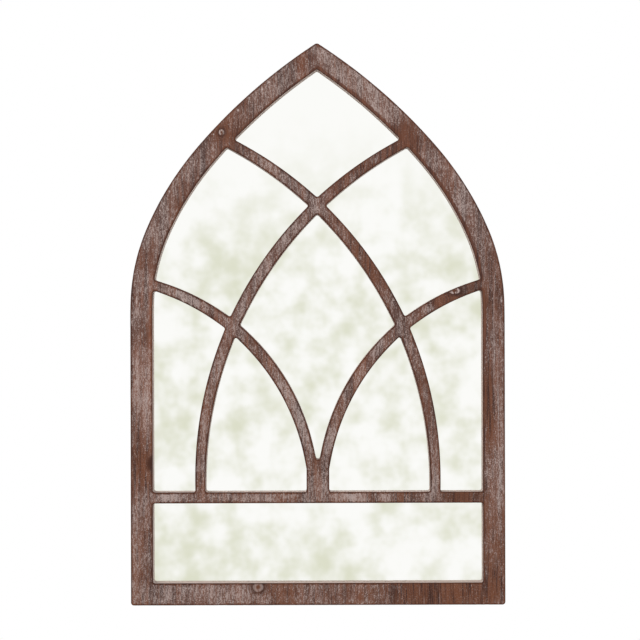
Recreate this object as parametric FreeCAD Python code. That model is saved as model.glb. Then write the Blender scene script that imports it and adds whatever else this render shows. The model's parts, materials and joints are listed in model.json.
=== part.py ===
import FreeCAD, Part
import math
import os
from collections import namedtuple

# Arched window mirror for a wall.
#
# One board forms the whole face: a border with a pointed arch, two pairs of crossing curved
# bars and a transom.  Five strips glued behind the border leave a recess for the mirror glass.
# Foam pads press the glass forward, a stapled backing board closes the recess, and two strap
# hangers with D rings carry the mirror on two wall hooks.
#
# Axes: X across, +Y towards the wall, +Z up.  The origin is on the wall, midway between the
# two hooks, at the height where the raised rings bear on them.

# ---- driving dimensions, mm and degrees ----

# Outer shape of the frame: straight sides, then three tangent arcs up to a blunt tip.
width = 609.6
height = 914.4
haunch_radius = 323.0
haunch_angle = 23.4
shoulder_radius = 519.0
shoulder_angle = 17.2
crown_radius = 893.0
tip_radius = 6.0
foot_radius = 5.0

# Border and tracery of the face board.
border_width = 36.0
transom_height = 175.0
transom_width = 18.0
post_width = 37.0
post_height = 52.0
pane_corner_radius = 3.5
front_edge_bevel = 1.2

# A curved bar is an arc that stands upright at foot_x from the middle line and curves away to
# the left; its mirror image curves to the right.  It is a little wider at its middle.
great_bar_foot_x = 191.5
great_bar_centre_height = 202.5
great_bar_radius = 620.0
great_bar_mid_width = 20.0
small_bar_foot_x = -6.5
small_bar_centre_height = 174.0
small_bar_radius = 362.0
small_bar_mid_width = 19.5
bar_end_width = 16.5

# Thicknesses, from the front to the wall.
face_thickness = 12.0
rear_thickness = 6.0
glass_thickness = 4.0
backing_thickness = 3.0
bumper_thickness = 5.0

# Recess behind the border.
rear_width = 24.0
glass_clearance = 1.5
glass_corner_radius = 2.0
backing_inset = 6.0

# Foam pads: rows of three, and one pad by itself under the arch's tip.
pad_width = 20.0
pad_length = 34.0
pad_rows = 4
pad_foot_margin = 70.0
pad_top_margin = 304.0
pad_spread = 0.6
tip_pad_margin = 154.0

# Staples of the backing board: a bent wire with a crown and two legs.
side_staples = 8
foot_staples = 4
staple_crown = 10.0
staple_bite = 5.0
staple_wire_width = 0.9
staple_wire_thickness = 0.7
staple_clearance = 0.05

# Strap hangers.
hanger_inset = 19.8
knuckle_rise = 39.0
strap_thickness = 0.9
strap_width = 10.0
strap_end_length = 5.0
strap_corner_bevel = 2.5
strap_slope_angle = 40.0
screw_radius = 1.75
screw_bite = 6.0
screw_head_radius = 3.3
screw_head_height = 2.1
screw_hole_clearance = 0.25
pilot_clearance = 0.05

# D rings.
wire_radius = 1.15
wire_flats = 8
pin_clearance = 0.05
ring_side_clearance = 0.5
ring_corner_radius = 2.5
ring_leg = 2.5
ring_rest_gap = 0.3
ring_screw_gap = 1.5

# Wall bumpers.
bumper_radius = 8.0
bumper_inset = 24.0

# ---- derived sizes and positions ----

CurvedBar = namedtuple("CurvedBar", "foot_x centre_height radius mid_width")
great_bar = CurvedBar(great_bar_foot_x, great_bar_centre_height, great_bar_radius, great_bar_mid_width)
small_bar = CurvedBar(small_bar_foot_x, small_bar_centre_height, small_bar_radius, small_bar_mid_width)

half_width = width / 2
pad_thickness = rear_thickness - glass_thickness
backing_back_y = -bumper_thickness
backing_front_y = backing_back_y - backing_thickness
face_back_y = backing_front_y - rear_thickness
face_front_y = face_back_y - face_thickness

# The ring's straight bar just fits across the strap, and its bow hangs clear of the screw.
ring_bar_half = strap_width / 2 + ring_side_clearance
ring_half_width = ring_bar_half + ring_corner_radius
ring_reach = ring_corner_radius + ring_leg + ring_half_width
screw_drop = ring_reach + wire_radius + ring_screw_gap + screw_head_radius
strap_stack = 2 * strap_thickness
screw_length = strap_stack + backing_thickness + rear_thickness + screw_bite
screw_seat_y = backing_back_y + strap_stack
knuckle_bore_radius = wire_radius + pin_clearance
knuckle_radius = knuckle_bore_radius + strap_thickness
knuckle_y = backing_back_y + knuckle_radius

# At rest the ring hangs over its strap, tilted just enough for its bow to clear the strap.
bow_lift = strap_stack + ring_rest_gap + wire_radius - knuckle_radius
ring_rest_tilt = math.degrees(math.asin(bow_lift / ring_reach))


# ---- plane geometry ----

def at(x, z, y=0.0):
    """A point given by its place in the face plane, and its depth."""
    return FreeCAD.Vector(x, y, z)


def on_circle(centre, radius, angle):
    """The point of a circle in the face plane at an angle from +X towards +Z."""
    turn = math.radians(angle)
    return centre + at(radius * math.cos(turn), radius * math.sin(turn))


def edge(points):
    """A straight edge through two points, or an arc through three."""
    if len(points) == 2:
        return Part.LineSegment(*points).toShape()
    return Part.Arc(*points).toShape()


def mirrored(points):
    """The same run of points on the other side of the middle line, in the reverse order."""
    return [at(-point.x, point.z) for point in reversed(points)]


def face_of(runs):
    """A face of the plane Y = 0, bounded by runs of points in any order."""
    return Part.Face(Part.Wire(Part.__sortEdges__([edge(run) for run in runs])))


def rectangle(x_low, x_high, z_low, z_high):
    """A rectangular face in the plane Y = 0."""
    corners = [at(x_low, z_low), at(x_high, z_low), at(x_high, z_high), at(x_low, z_high)]
    return Part.Face(Part.makePolygon(corners + corners[:1]))


def plate(face, y_low, y_high):
    """A face of the plane Y = 0 made into a plate between two depths."""
    solid = face.extrude(at(0, 0, y_high - y_low))
    solid.translate(at(0, 0, y_low))
    return solid


def cylinder(radius, y_low, y_high, x, z):
    """A cylinder along Y."""
    return Part.makeCylinder(radius, y_high - y_low, at(x, z, y_low), at(0, 0, 1))


# ---- the arch ----

def arc_centres(spring_z):
    """Centres of the haunch, shoulder and crown arcs on the right side."""
    haunch = at(half_width - haunch_radius, spring_z)
    shoulder = on_circle(haunch, haunch_radius - shoulder_radius, haunch_angle)
    crown = on_circle(shoulder, shoulder_radius - crown_radius, haunch_angle + shoulder_angle)
    return haunch, shoulder, crown


def arch_rise():
    """Height of the arch's tip above the spring line, where the sides start to curve."""
    crown = arc_centres(0.0)[2]
    return crown.z + math.sqrt((crown_radius - tip_radius) ** 2 - crown.x ** 2) + tip_radius


spring_height = height - arch_rise()
hook_height = spring_height + knuckle_rise + ring_reach - wire_radius
foot_z = -hook_height
spring_z = foot_z + spring_height
knuckle_z = spring_z + knuckle_rise


def side_runs(inset, corner_radius, point_radius):
    """Point runs of the right side, from the middle of the foot to the tip, inset from the edge."""
    haunch, shoulder, crown = arc_centres(spring_z)
    shoulder_end = haunch_angle + shoulder_angle
    side_x = half_width - inset
    base_z = foot_z + inset
    inner_crown = crown_radius - inset
    point_z = crown.z + math.sqrt((inner_crown - point_radius) ** 2 - crown.x ** 2)
    crown_end = math.degrees(math.atan2(point_z - crown.z, -crown.x))

    runs = [[at(0, base_z), at(side_x - corner_radius, base_z)]]
    if corner_radius:
        corner = at(side_x - corner_radius, base_z + corner_radius)
        runs.append([on_circle(corner, corner_radius, angle) for angle in (-90, -45, 0)])
    runs.append([at(side_x, base_z + corner_radius), at(side_x, spring_z)])
    for centre, radius, first, last in (
        (haunch, haunch_radius, 0, haunch_angle),
        (shoulder, shoulder_radius, haunch_angle, shoulder_end),
        (crown, crown_radius, shoulder_end, crown_end),
    ):
        angles = (first, (first + last) / 2, last)
        runs.append([on_circle(centre, radius - inset, angle) for angle in angles])
    if point_radius:
        point = at(0, point_z)
        angles = (crown_end, (crown_end + 90) / 2, 90)
        runs.append([on_circle(point, point_radius, angle) for angle in angles])
    return runs


def arch_face(inset, corner_radius=0.0, point_radius=0.0):
    """The frame's outline, inset evenly, as a face in the plane Y = 0."""
    right = side_runs(inset, corner_radius, point_radius)
    return face_of(right + [mirrored(run) for run in right])


def half_width_at(z):
    """Half of the frame's outer width at a height."""
    haunch, shoulder, crown = arc_centres(spring_z)
    arcs = ((haunch, haunch_radius), (shoulder, shoulder_radius), (crown, crown_radius))
    reaches = [centre.x + math.sqrt(radius ** 2 - (z - centre.z) ** 2)
               for centre, radius in arcs if z > centre.z]
    return min(reaches + [half_width])


# ---- face board ----

def bar_face(bar, side):
    """A curved bar from the transom's middle to the middle of the border."""
    centre = at(bar.foot_x - bar.radius, foot_z + bar.centre_height)
    first = math.degrees(math.asin((transom_height - bar.centre_height) / bar.radius))
    line = edge([on_circle(centre, bar.radius, angle) for angle in (first, 45, 90)])
    inside = line.common(arch_face(border_width / 2))
    end = max(inside.Vertexes, key=lambda vertex: vertex.Point.z).Point - centre
    last = math.degrees(math.atan2(end.z, end.x))

    angles = (first, (first + last) / 2, last)
    widths = (bar_end_width, bar.mid_width, bar_end_width)
    outer = [on_circle(centre, bar.radius + w / 2, a) for a, w in zip(angles, widths)]
    inner = [on_circle(centre, bar.radius - w / 2, a) for a, w in zip(angles, widths)]
    if side < 0:
        outer, inner = mirrored(outer), mirrored(inner)
    return face_of([outer, inner, [outer[0], inner[0]], [outer[-1], inner[-1]]])


def pane_faces():
    """The nine openings, with the corners that a round cutter leaves."""
    transom_z = foot_z + transom_height
    bars = [bar_face(bar, side) for bar in (great_bar, small_bar) for side in (1, -1)]
    bars.append(rectangle(-half_width, half_width, transom_z - transom_width / 2,
                          transom_z + transom_width / 2))
    bars.append(rectangle(-post_width / 2, post_width / 2, transom_z, transom_z + post_height))
    panes = []
    for sharp in arch_face(border_width).cut(bars).Faces:
        shrunk = sharp.makeOffset2D(-pane_corner_radius)
        panes.extend(shrunk.makeOffset2D(pane_corner_radius).Faces)
    return panes


def face_frame():
    """Border, curved bars, post and transom cut from one board, with bevelled front edges."""
    board = plate(arch_face(0.0, foot_radius, tip_radius), face_front_y, face_back_y)
    board = board.cut([plate(pane, face_front_y, face_back_y) for pane in pane_faces()]).Solids[0]
    middle_y = (face_front_y + face_back_y) / 2
    front_edges = [line for line in board.Edges if line.BoundBox.YMax < middle_y]
    board = board.makeChamfer(front_edge_bevel, front_edges)
    return cut_fastener_holes(board, pilot_clearance)


# ---- recess, glass and backing ----

def rear_strips():
    """Five strips glued behind the border: a foot rail, two stiles and two arched strips."""
    ring = plate(arch_face(0.0, foot_radius, tip_radius), face_back_y, backing_front_y)
    recess = plate(arch_face(rear_width), face_back_y, backing_front_y)
    ring = cut_fastener_holes(ring.cut(recess), screw_hole_clearance)
    inner_x = half_width - rear_width
    top_z = foot_z + height
    zones = {
        "rear_rail_bottom": rectangle(-inner_x, inner_x, foot_z, foot_z + rear_width),
        "rear_stile_left": rectangle(-half_width, -inner_x, foot_z, spring_z),
        "rear_stile_right": rectangle(inner_x, half_width, foot_z, spring_z),
        "rear_arch_left": rectangle(-half_width, 0, spring_z, top_z),
        "rear_arch_right": rectangle(0, half_width, spring_z, top_z),
    }
    return {name: ring.common(plate(zone, face_back_y, backing_front_y)).Solids[0]
            for name, zone in zones.items()}


def mirror_glass():
    """The mirror: one sheet of glass that lies against the back of the face board."""
    outline = arch_face(rear_width + glass_clearance, glass_corner_radius)
    return plate(outline, face_back_y, face_back_y + glass_thickness)


def foam_pads():
    """Self-adhesive pads between the glass and the backing board."""
    places = [(0.0, foot_z + height - tip_pad_margin)]
    span = height - pad_foot_margin - pad_top_margin
    for row in range(pad_rows):
        z = foot_z + pad_foot_margin + span * row / (pad_rows - 1)
        spread = pad_spread * half_width_at(z)
        places += [(-spread, z), (0.0, z), (spread, z)]
    pads = []
    for x, z in places:
        outline = rectangle(x - pad_width / 2, x + pad_width / 2, z - pad_length / 2, z + pad_length / 2)
        pads.append(plate(outline, backing_front_y - pad_thickness, backing_front_y))
    return Part.makeCompound(pads)


def backing_board():
    """The thin board that closes the recess and holds the glass in."""
    outline = arch_face(backing_inset, foot_radius, tip_radius)
    board = plate(outline, backing_front_y, backing_back_y)
    return cut_fastener_holes(board, screw_hole_clearance)


# ---- fasteners ----

def staple_places():
    """Middle and direction of each staple, evenly along both sides and along the foot.

    The staples run along the middle of the overlap of the backing board and the rear strips.
    One that would lie under a strap hanger is left out.
    """
    inset = (backing_inset + rear_width) / 2
    side = [edge(run) for run in side_runs(inset, 0.0, 0.0)[1:]]
    marks = Part.Wire(side).discretize(Number=2 * side_staples + 1)
    strap_foot_z = knuckle_z - screw_drop - strap_end_length
    places = []
    for index in range(1, len(marks), 2):
        x, z = marks[index].x, marks[index].z
        along = marks[index + 1] - marks[index - 1]
        turn = math.degrees(math.atan2(along.z, along.x))
        if not strap_foot_z - staple_crown < z < knuckle_z + staple_crown:
            places += [(x, z, turn), (-x, z, -turn)]
    span = width - 2 * inset
    for index in range(foot_staples):
        places.append((span * ((index + 0.5) / foot_staples - 0.5), foot_z + inset, 0.0))
    return places


def placed_staple(shape, place):
    """A staple's shape, drawn at the origin with its crown along X, put in its place."""
    x, z, turn = place
    moved = shape.copy()
    moved.rotate(at(0, 0), at(0, 0, 1), -turn)
    moved.translate(at(x, z))
    return moved


def staple_legs(clearance):
    """Both legs of a staple at the origin, made larger by a clearance."""
    half_wire = staple_wire_width / 2 + clearance
    reach = staple_wire_thickness / 2 + clearance
    tip_y = backing_front_y - staple_bite - clearance
    legs = []
    for side in (1, -1):
        middle = side * (staple_crown - staple_wire_thickness) / 2
        leg = rectangle(middle - reach, middle + reach, -half_wire, half_wire)
        legs.append(plate(leg, tip_y, backing_back_y))
    return legs


def backing_staples():
    """All staples of the backing board."""
    half_wire = staple_wire_width / 2
    crown = rectangle(-staple_crown / 2, staple_crown / 2, -half_wire, half_wire)
    crown = plate(crown, backing_back_y, backing_back_y + staple_wire_thickness)
    staple = crown.fuse(staple_legs(0.0)).removeSplitter().Solids[0]
    return Part.makeCompound([placed_staple(staple, place) for place in staple_places()])


def hanger_x(side):
    """Place of a hanger's middle line: side is 1 on the right and -1 on the left."""
    return side * (half_width - hanger_inset)


def hanger_screws():
    """The two pan-head screws that go through the straps, the back and into the face board."""
    screws = []
    for side in (1, -1):
        place = (hanger_x(side), knuckle_z - screw_drop)
        shank = cylinder(screw_radius, screw_seat_y - screw_length, screw_seat_y, *place)
        head = cylinder(screw_head_radius, screw_seat_y, screw_seat_y + screw_head_height, *place)
        screws.append(shank.fuse(head).Solids[0])
    return Part.makeCompound(screws)


def cut_fastener_holes(solid, clearance):
    """Cut the screw holes, with a radial clearance, and the slots that the staple legs fill."""
    legs = Part.makeCompound(staple_legs(staple_clearance))
    cuts = [placed_staple(legs, place) for place in staple_places()]
    for side in (1, -1):
        cuts.append(cylinder(screw_radius + clearance, screw_seat_y - screw_length - clearance,
                             screw_seat_y, hanger_x(side), knuckle_z - screw_drop))
    return solid.cut(cuts).Solids[0]


# ---- hangers and bumpers ----

def hanger_strap(side):
    """A steel strap folded round the ring's straight bar, its two layers screwed down together."""
    low_x = hanger_x(side) - strap_width / 2
    screw_z = knuckle_z - screw_drop
    end_z = screw_z - strap_end_length
    axis_point = at(low_x, knuckle_z, knuckle_y)
    across = at(1, 0)

    tongue = rectangle(low_x, low_x + strap_width, end_z, knuckle_z)
    tongue = plate(tongue, backing_back_y, screw_seat_y)
    corners = [line for line in tongue.Edges
               if line.BoundBox.ZMax < screw_z and line.BoundBox.YLength > strap_thickness]
    tongue = tongue.makeChamfer(strap_corner_bevel, corners)
    knuckle = Part.makeCylinder(knuckle_radius, strap_width, axis_point, across)
    strap = knuckle.fuse([tongue, strap_shoulder(low_x)])
    bore = Part.makeCylinder(knuckle_bore_radius, strap_width, axis_point, across)
    hole_radius = screw_radius + screw_hole_clearance
    hole = cylinder(hole_radius, backing_back_y, screw_seat_y, hanger_x(side), screw_z)
    return strap.cut([bore, hole]).removeSplitter().Solids[0]


def strap_shoulder(low_x):
    """The sloping stretch where the strap's upper layer comes down from the knuckle."""
    slope = math.radians(strap_slope_angle)
    touch_y = knuckle_y + knuckle_radius * math.cos(slope)
    touch_z = knuckle_z - knuckle_radius * math.sin(slope)
    fold_z = touch_z - (touch_y - screw_seat_y) / math.tan(slope)
    profile = [(knuckle_z, knuckle_y), (touch_z, touch_y), (fold_z, screw_seat_y),
               (fold_z, backing_back_y), (knuckle_z, backing_back_y)]
    corners = [at(low_x, z, y) for z, y in profile]
    return Part.Face(Part.makePolygon(corners + corners[:1])).extrude(at(strap_width, 0))


def hanger_ring(side):
    """A D ring of bent wire, hanging from the straight bar that turns in the strap's knuckle."""
    leg_end = -ring_corner_radius - ring_leg
    corner = at(ring_bar_half, -ring_corner_radius)
    bow = at(0, leg_end)
    right = [
        [on_circle(corner, ring_corner_radius, angle) for angle in (90, 45, 0)],
        [at(ring_half_width, -ring_corner_radius), at(ring_half_width, leg_end)],
        [on_circle(bow, ring_half_width, angle) for angle in (0, -45, -90)],
    ]
    path = Part.Wire([edge(run) for run in right + [mirrored(run) for run in reversed(right)]])
    bent = path.makePipeShell([wire_section()], True, False)
    bar = Part.makeCylinder(wire_radius, 2 * ring_bar_half, at(-ring_bar_half, 0), at(1, 0))
    ring = bar.fuse(bent)
    ring.rotate(at(0, 0), at(1, 0), ring_rest_tilt)
    ring.translate(at(hanger_x(side), knuckle_z, knuckle_y))
    return ring


def wire_section():
    """The wire's outline where it leaves the straight bar, with the flats of the bending rolls."""
    corners = []
    for index in range(wire_flats):
        turn = 2 * math.pi * (index + 0.5) / wire_flats
        corners.append(at(ring_bar_half, wire_radius * math.sin(turn), wire_radius * math.cos(turn)))
    return Part.makePolygon(corners + corners[:1])


def wall_bumpers():
    """Two felt discs that keep the foot of the mirror off the wall."""
    z = foot_z + bumper_inset
    return Part.makeCompound([
        cylinder(bumper_radius, backing_back_y, 0.0, side * (half_width - bumper_inset), z)
        for side in (1, -1)])


def build():
    """Write every sub-part to its own file."""
    os.makedirs("parts", exist_ok=True)
    parts = {
        "face_frame": face_frame(),
        "mirror_glass": mirror_glass(),
        "foam_pads": foam_pads(),
        "backing_board": backing_board(),
        "backing_staples": backing_staples(),
        "hanger_strap_left": hanger_strap(-1),
        "hanger_strap_right": hanger_strap(1),
        "hanger_ring_left": hanger_ring(-1),
        "hanger_ring_right": hanger_ring(1),
        "hanger_screws": hanger_screws(),
        "wall_bumpers": wall_bumpers(),
    }
    parts.update(rear_strips())
    for name, shape in parts.items():
        shape.exportStep(os.path.join("parts", name + ".step"))
        print(name, shape.isValid(), len(shape.Solids), round(shape.Volume, 1))


if __name__ == "__main__":
    build()
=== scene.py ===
import json
import math
from collections import namedtuple

import bmesh
import bpy
import numpy as np
from bpy.props import FloatProperty, FloatVectorProperty, IntProperty, PointerProperty
from mathutils import Matrix, Vector, kdtree, noise
from mathutils.geometry import delaunay_2d_cdt


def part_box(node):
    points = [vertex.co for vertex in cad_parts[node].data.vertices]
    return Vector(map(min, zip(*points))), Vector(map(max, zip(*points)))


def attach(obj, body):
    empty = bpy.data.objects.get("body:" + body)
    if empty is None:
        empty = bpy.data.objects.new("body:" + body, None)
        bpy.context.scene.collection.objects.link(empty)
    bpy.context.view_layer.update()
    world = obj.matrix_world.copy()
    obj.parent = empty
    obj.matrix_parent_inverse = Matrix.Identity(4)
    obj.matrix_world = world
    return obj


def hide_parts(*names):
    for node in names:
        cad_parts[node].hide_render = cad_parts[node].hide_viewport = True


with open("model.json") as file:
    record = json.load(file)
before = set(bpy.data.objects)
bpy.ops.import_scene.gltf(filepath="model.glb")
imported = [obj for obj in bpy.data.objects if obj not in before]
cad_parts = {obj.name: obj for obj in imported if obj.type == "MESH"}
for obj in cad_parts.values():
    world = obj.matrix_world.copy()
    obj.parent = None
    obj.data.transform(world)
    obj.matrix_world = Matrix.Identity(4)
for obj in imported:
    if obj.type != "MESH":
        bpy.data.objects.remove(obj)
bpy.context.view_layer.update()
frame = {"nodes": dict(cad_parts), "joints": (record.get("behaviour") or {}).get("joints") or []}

bl_info = {
    "name": "Arched window mirror",
    "version": (1, 0, 0),
    "blender": (4, 5, 0),
    "location": "3D View > Sidebar > Arched mirror",
    "description": "Builds a whitewashed arched window mirror around its packed model",
    "category": "Object",
}

MM = 0.001
face_low, face_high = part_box("face_frame")
back_low, back_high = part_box("backing_board")
foot_z = face_low.z
tip_z = face_high.z

# An outline smaller than this is a fastener's hole. A turn of more than corner_turn is a corner,
# and near it the outline isn't smoothed. In mm, and radians.
smallest_outline = 12.0
corner_turn = math.radians(8.0)
corner_keep = 4.0
back_chamfer = 0.35


def in_mm(length):
    """A length in mm."""
    return round(length / MM, 4)


def srgb(red, green, blue):
    """A colour given as 0 to 255 screen values, as the linear values that shaders use."""
    screen = [channel / 255 for channel in (red, green, blue)]
    return tuple(c / 12.92 if c <= 0.04045 else ((c + 0.055) / 1.055) ** 2.4 for c in screen)


# ---- places on the photograph's face, turned into the model's x and z ----

photo_middle_x = 317.5
photo_foot_y = 605.2
photo_mm_per_pixel = 1.6273
photo_roll = 0.15

Spot = namedtuple("Spot", "x y reach_x reach_y strength")


def spot_place(spot):
    """Centre and reach of a spot in metres: x, z, half width, half height."""
    scale = photo_mm_per_pixel * MM
    x = (spot.x - photo_middle_x) * scale
    z = foot_z + (photo_foot_y - spot.y) * scale
    return x, z, spot.reach_x * scale, spot.reach_y * scale


# Soft spots where the wash lies thicker than elsewhere (strength above 0) or is
# rubbed away (below 0). Each is x, y, reach across, reach up and down, and strength.
wash_spots = [Spot(*numbers) for numbers in (
    (346, 76, 30, 16, 0.65), (385, 112, 22, 20, 0.65), (326, 52, 12, 10, 0.30),
    (302, 62, 10, 16, -0.30), (270, 88, 22, 18, 0.45), (408, 142, 20, 20, -1.20),
    (426, 158, 8, 16, 0.55), (228, 132, 18, 18, -0.75), (211, 147, 12, 12, 0.35),
    (185, 190, 30, 40, 0.05), (161, 224, 12, 20, 0.25), (258, 164, 34, 14, 0.45),
    (366, 165, 34, 14, -0.70), (376, 158, 8, 6, 0.90), (466, 215, 14, 22, 0.25),
    (482, 262, 12, 20, 0.15), (495, 300, 12, 32, -0.90), (320, 206, 12, 12, 0.40),
    (190, 302, 34, 18, 0.60), (143, 300, 12, 30, -0.10), (143, 390, 12, 34, 0.45),
    (143, 462, 9, 17, -0.60), (139, 500, 12, 26, -0.12), (145, 560, 13, 50, 0.10),
    (440, 300, 22, 12, -1.10), (430, 309, 7, 7, 1.10), (494, 350, 3, 60, 0.35),
    (488, 400, 5, 46, -1.10), (498, 410, 4, 60, 0.15), (495, 465, 12, 30, 0.50),
    (492, 545, 14, 46, -0.12), (490, 375, 14, 20, -0.15), (231, 326, 14, 14, 0.10),
    (404, 330, 14, 14, -0.05), (414, 366, 8, 18, 0.25), (208, 420, 12, 50, 0.10),
    (294, 405, 20, 44, 0.30), (306, 436, 9, 22, 0.55), (348, 420, 22, 44, 0.15),
    (331, 436, 9, 22, 0.50), (280, 245, 20, 30, 0.32), (375, 270, 12, 18, -0.30),
    (319, 484, 14, 12, 0.30), (196, 593, 48, 12, 0.52), (278, 594, 18, 12, 0.05),
    (335, 594, 26, 12, -0.25), (445, 594, 60, 13, -1.15), (170, 497, 14, 7, 0.70),
    (227, 497, 8, 7, 0.60), (262, 497, 20, 7, 0.70), (350, 497, 14, 7, 0.80),
    (382, 497, 7, 7, 0.80), (410, 497, 10, 7, -0.50), (464, 497, 16, 8, -0.90),
    (472, 497, 4, 6, 0.50),
)]

# Knots: the grain runs round them, and their surround is dark. Strength is the wash on their
# rim; a knot with a strength below 0 is dark all over.
knots = [Spot(*numbers) for numbers in (
    (222, 132, 2.7, 2.9, 0.80), (454.5, 291, 5.4, 3.2, 0.90), (151, 463.5, 2.8, 4.4, -1.00),
    (257.5, 587.0, 5.0, 4.6, 0.40),
)]

# Narrow stripes and specks along the grain: dark where the strength is below 0, pale above.
stripes = [Spot(*numbers) for numbers in (
    (392.0, 594, 4.6, 12, -0.55), (467.0, 291, 13.0, 9, -0.42), (458.0, 497, 20.0, 8, -0.30),
    (172.5, 595, 0.5, 9, -0.90), (319.5, 72, 0.5, 14, -0.80), (498.0, 420, 0.5, 70, 0.55),
    (494.0, 330, 0.6, 60, 0.45), (140.5, 450, 2.5, 120, -0.20), (253.0, 112, 0.8, 12, -0.70),
    (238.0, 128, 0.8, 10, -0.55), (137.0, 300, 0.8, 4, 0.90), (501.5, 300, 0.9, 3, 0.90),
    (438.0, 599, 0.5, 6, 0.40), (418.0, 591, 0.5, 5, 0.35), (422.5, 601, 0.4, 4, 0.50),
    (429.0, 594, 0.6, 10, -0.35), (452.0, 596, 0.7, 11, -0.35), (494.5, 520, 0.5, 60, -0.35),
    (214.0, 134, 0.9, 0.9, 1.20), (237.5, 110, 1.0, 1.3, 1.20), (262.0, 89, 0.9, 0.9, 1.10),
    (269.0, 82, 0.9, 0.9, 1.10), (170.0, 191, 0.8, 0.9, 1.00), (164.0, 203, 0.9, 0.9, 1.10),
    (160.0, 210, 0.8, 0.8, 1.00),
)]


# ---- shader maths ----

class Link:
    """An output of a shader node. Arithmetic on links of numbers adds the Math nodes for it."""

    def __init__(self, tree, socket):
        self.tree = tree
        self.socket = socket

    def __add__(self, other):
        return self.tree.math("ADD", self, other)

    def __radd__(self, other):
        return self.tree.math("ADD", other, self)

    def __sub__(self, other):
        return self.tree.math("SUBTRACT", self, other)

    def __rsub__(self, other):
        return self.tree.math("SUBTRACT", other, self)

    def __mul__(self, other):
        return self.tree.math("MULTIPLY", self, other)

    def __rmul__(self, other):
        return self.tree.math("MULTIPLY", other, self)


class Tree:
    """The nodes of a material or of the world."""

    def __init__(self, owner):
        owner.use_nodes = True
        self.nodes = owner.node_tree.nodes
        self.links = owner.node_tree.links
        self.nodes.clear()

    def node(self, kind, settings=None, inputs=None, output=0):
        """Add a node, set what it is, then its sockets' values or links, and return an output."""
        made = self.nodes.new(kind)
        for name, value in (settings or {}).items():
            if name == "stops":
                set_stops(made.color_ramp, value)
            else:
                setattr(made, name, value)
        for key, value in (inputs or {}).items():
            if isinstance(value, Link):
                self.links.new(value.socket, made.inputs[key])
            else:
                made.inputs[key].default_value = value
        return Link(self, made.outputs[output]) if made.outputs else made

    def coordinates(self):
        """The object's own coordinates, in metres."""
        return self.node("ShaderNodeTexCoord", output="Object")

    def axes(self, vector):
        """The three numbers of a vector."""
        first = self.node("ShaderNodeSeparateXYZ", None, {0: vector})
        return [Link(self, socket) for socket in first.socket.node.outputs]

    def math(self, operation, *values):
        """A sum or other working on numbers."""
        return self.node("ShaderNodeMath", {"operation": operation}, dict(enumerate(values)))

    def vector(self, operation, first, second, output=0):
        """A sum or other working on vectors."""
        settings = {"operation": operation}
        return self.node("ShaderNodeVectorMath", settings, {0: first, 1: second}, output)

    def noise(self, vector, stretch, detail=3.0, roughness=0.55, distortion=0.0):
        """Noise that is stretched by different counts per metre along X, Y and Z."""
        place = self.vector("MULTIPLY", vector, stretch)
        inputs = {"Vector": place, "Scale": 1.0, "Detail": detail, "Roughness": roughness,
                  "Distortion": distortion}
        return self.node("ShaderNodeTexNoise", None, inputs)

    def step(self, value, low, high):
        """0 below low, 1 above high, and a smooth rise between; low may be the larger one."""
        inputs = {"Value": value, "From Min": low, "From Max": high}
        return self.node("ShaderNodeMapRange", {"interpolation_type": "SMOOTHSTEP"}, inputs)

    def mix(self, factor, first, second, blend="MIX"):
        """A mix of two colours."""
        settings = {"data_type": "RGBA", "blend_type": blend, "clamp_factor": True}
        inputs = {0: factor, 6: first, 7: second}
        return self.node("ShaderNodeMix", settings, inputs, 2)

    def ramp(self, value, stops):
        """A colour ramp through stops of position and colour."""
        return self.node("ShaderNodeValToRGB", {"stops": stops}, {0: value})

    def attribute(self, name):
        """A number that the mesh holds at its points."""
        return self.node("ShaderNodeAttribute", {"attribute_name": name}, output="Fac")

    def bump(self, height, strength, distance):
        """Small relief, for the surface's Normal."""
        inputs = {"Strength": strength, "Distance": distance, "Height": height}
        return self.node("ShaderNodeBump", None, inputs)

    def surface(self, inputs):
        """The principled surface and the material's output."""
        shader = self.node("ShaderNodeBsdfPrincipled", None, inputs)
        self.node("ShaderNodeOutputMaterial", None, {"Surface": shader})


def set_stops(ramp, stops):
    """Give a colour ramp its stops."""
    while len(ramp.elements) > 1:
        ramp.elements.remove(ramp.elements[0])
    ramp.elements[0].position = stops[0][0]
    ramp.elements[0].color = rgba(stops[0][1])
    for position, colour in stops[1:]:
        ramp.elements.new(position).color = rgba(colour)


def rgba(colour):
    """A colour with full opacity."""
    return (*colour, 1.0)


def new_material(name):
    """A new material and its empty tree."""
    material = bpy.data.materials.new(name)
    return material, Tree(material)


# ---- materials ----

def around_spot(tree, coordinates, spot):
    """How far a point is from a spot's middle, counted in the spot's own half sizes."""
    x, z, reach_x, reach_z = spot_place(spot)
    flat = tree.vector("MULTIPLY", coordinates, (1.0, 0.0, 1.0))
    away = tree.vector("SUBTRACT", flat, (x, 0.0, z))
    shares = tree.vector("DIVIDE", away, (reach_x, 1.0, reach_z))
    return away, tree.node("ShaderNodeVectorMath", {"operation": "LENGTH"}, {0: shares}, "Value")


def around_knots(tree, place):
    """The grain's place, bent round the knots, and how dark, washed and solid they make a point."""
    bent, dark, wash, body = place, 0.0, 0.0, 0.0
    for knot in knots:
        away, share = around_spot(tree, place, knot)
        push = tree.step(share, 3.2, 0.4) * -0.55
        shift = tree.node("ShaderNodeVectorMath", {"operation": "SCALE"}, {0: away, "Scale": push})
        bent = tree.vector("ADD", bent, shift)
        within = tree.step(share, 1.15, 0.85)
        lighter = 0.60 if knot.strength > 0 else -0.10
        body = body + within
        wash = wash + within * tree.step(share, 0.25, 0.65) * max(knot.strength, 0.0)
        dark = dark + tree.step(share, 2.4, 1.1) * (0.85 - within * lighter)
    return bent, dark, wash, body


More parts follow.
